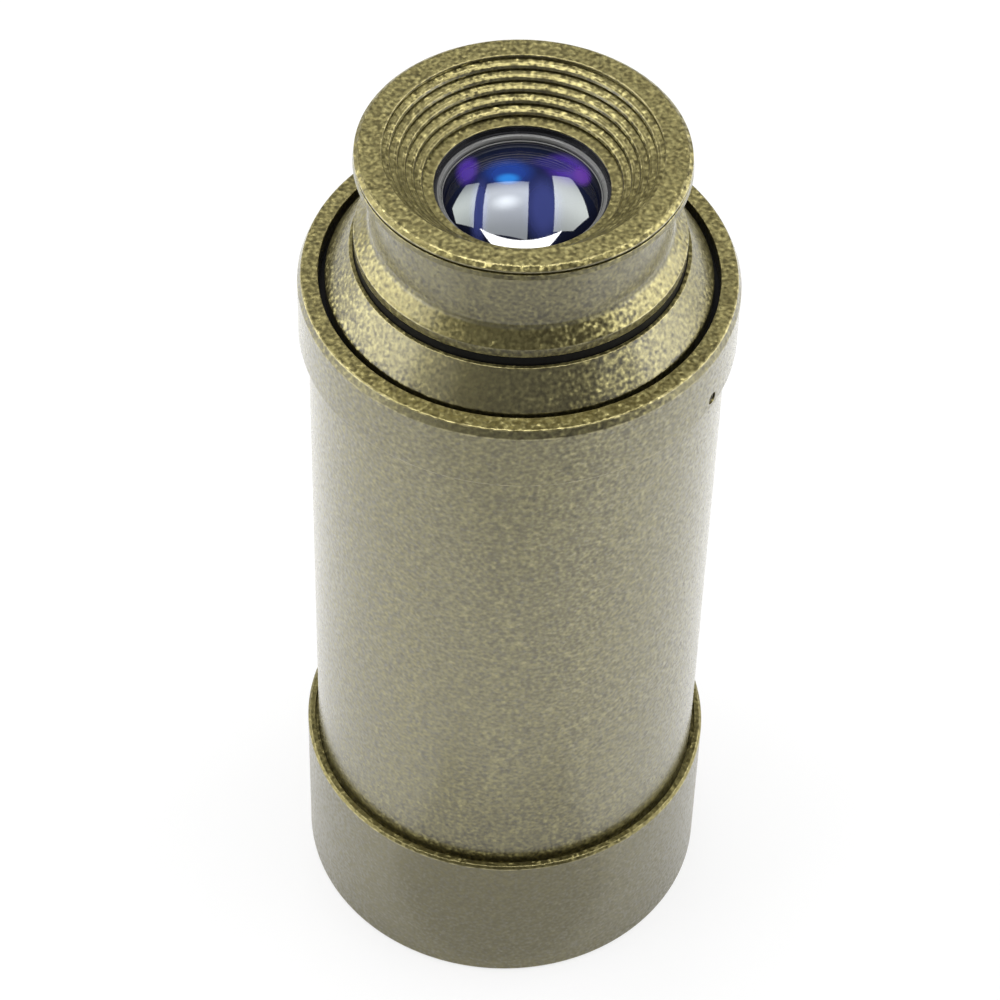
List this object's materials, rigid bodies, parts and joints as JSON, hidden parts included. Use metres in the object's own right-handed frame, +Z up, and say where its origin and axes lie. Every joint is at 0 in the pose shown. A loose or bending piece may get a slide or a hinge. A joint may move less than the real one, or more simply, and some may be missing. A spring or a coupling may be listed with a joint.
{
  "type": "monocular telescope",
  "caption": "Pocket draw telescope, closed: a round barrel with an objective at its foot and sliding draws that carry an eyepiece with a stepped eyecup.",
  "frame": {"origin": "centre of the foot ring of the objective bezel, on the floor that it stands on", "axes": "+Z up the line of sight from the objective to the eye lens, the direction in which the draws pull out; +X and +Y across the barrel"},
  "size_m": [0.0404, 0.0404, 0.0956],
  "materials": {
    "bronze_enamel": "fine speckled antique-bronze enamel on turned aluminium",
    "black_anodised": "satin black anodised",
    "bare_aluminium": "bare turned",
    "black_plastic": "matt black, low friction",
    "blackened_steel": "black oxide",
    "clear_glass": "polished, coated",
    "coated_glass": "polished, blue-violet anti-reflection coating"
  },
  "bodies": {
    "barrel": {"objective_bezel": "bronze_enamel", "objective_crown_lens": "clear_glass", "objective_flint_lens": "clear_glass", "objective_retaining_ring": "black_anodised", "barrel_tube": "bronze_enamel", "barrel_end_collar": "bronze_enamel", "collar_set_screw": "blackened_steel", "barrel_guide_bush": "black_plastic"},
    "middle_slide_ring": {"middle_slide_ring": "black_plastic"},
    "middle_draw": {"middle_draw_tube": "black_anodised", "middle_draw_stop_ring": "bare_aluminium", "middle_draw_end_collar": "bronze_enamel", "middle_draw_guide_bush": "black_plastic"},
    "eye_slide_ring": {"eye_slide_ring": "black_plastic"},
    "eye_draw": {"eye_draw_tube": "black_anodised", "eye_draw_stop_ring": "bare_aluminium", "erector_cell": "black_anodised", "erector_front_lens": "clear_glass", "erector_front_ring": "black_anodised", "erector_stop": "black_anodised", "erector_rear_lens": "clear_glass", "erector_rear_ring": "black_anodised", "eyepiece_housing": "bronze_enamel", "field_stop_ring": "black_anodised", "field_lens": "clear_glass", "eyepiece_spacer": "black_anodised", "eye_lens": "coated_glass", "eye_lens_retaining_ring": "black_anodised", "eyecup": "bronze_enamel"}
  },
  "joints": [
    {"name": "middle_draw_slide", "type": "slide", "parent": "barrel", "child": "middle_slide_ring", "axis": [0, 0, 1], "range_m": [0, 0.0349]},
    {"name": "middle_draw_turn", "type": "hinge", "parent": "middle_slide_ring", "child": "middle_draw", "pos_m": [0, 0, 0.035], "axis": [0, 0, 1], "continuous": true},
    {"name": "eye_draw_slide", "type": "slide", "parent": "middle_draw", "child": "eye_slide_ring", "axis": [0, 0, 1], "range_m": [0, 0.0339]},
    {"name": "eye_draw_turn", "type": "hinge", "parent": "eye_slide_ring", "child": "eye_draw", "pos_m": [0, 0, 0.039], "axis": [0, 0, 1], "continuous": true}
  ]
}
